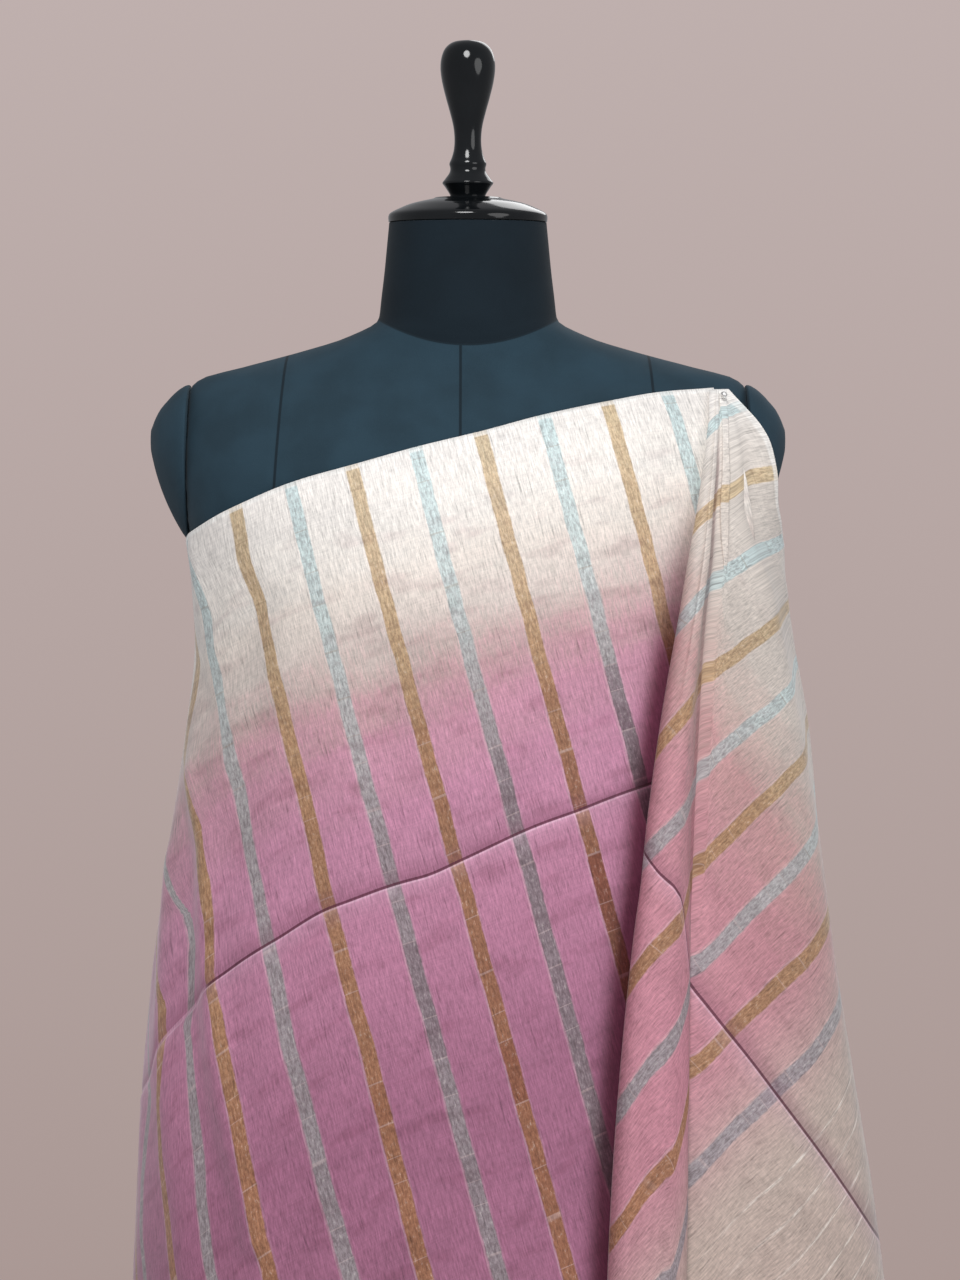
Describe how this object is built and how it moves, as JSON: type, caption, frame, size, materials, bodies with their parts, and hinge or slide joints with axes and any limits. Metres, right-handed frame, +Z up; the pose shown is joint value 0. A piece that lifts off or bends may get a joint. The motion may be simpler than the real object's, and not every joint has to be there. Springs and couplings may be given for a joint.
{
  "type": "silk saree draped on a limbless dress form and stand",
  "caption": "Striped, shaded silk saree draped round a limbless dress form: slanting front sweep, shoulder fall with folded edge, pleats and back wrap on a turned stand.",
  "frame": {"origin": "middle of the stand's flat underside, on the floor", "axes": "+Z up along the pole, -Y towards the front, +X to the side of the shoulder that carries the fall"},
  "size_m": [0.5615, 0.4358, 1.6237],
  "materials": {
    "silk_body": "satin tussar silk",
    "silk_fall": "satin tussar silk",
    "form_jersey": "matte stretch jersey",
    "gloss_cap": "black gloss lacquer",
    "stand_metal": "satin black paint",
    "pin_steel": "polished"
  },
  "bodies": {
    "root": {"form_base": "stand_metal", "form_pole": "stand_metal", "form_torso": "form_jersey", "form_arm_cap_left": "form_jersey", "form_arm_cap_right": "form_jersey", "form_neck_cap": "gloss_cap", "form_finial": "gloss_cap", "saree_skirt_wrap": "silk_body", "saree_front_pleats": "silk_body", "saree_back_wrap": "silk_body", "saree_front_sweep": "silk_body", "saree_shoulder_fall": "silk_fall", "shoulder_pin": "pin_steel"}
  },
  "joints": []
}
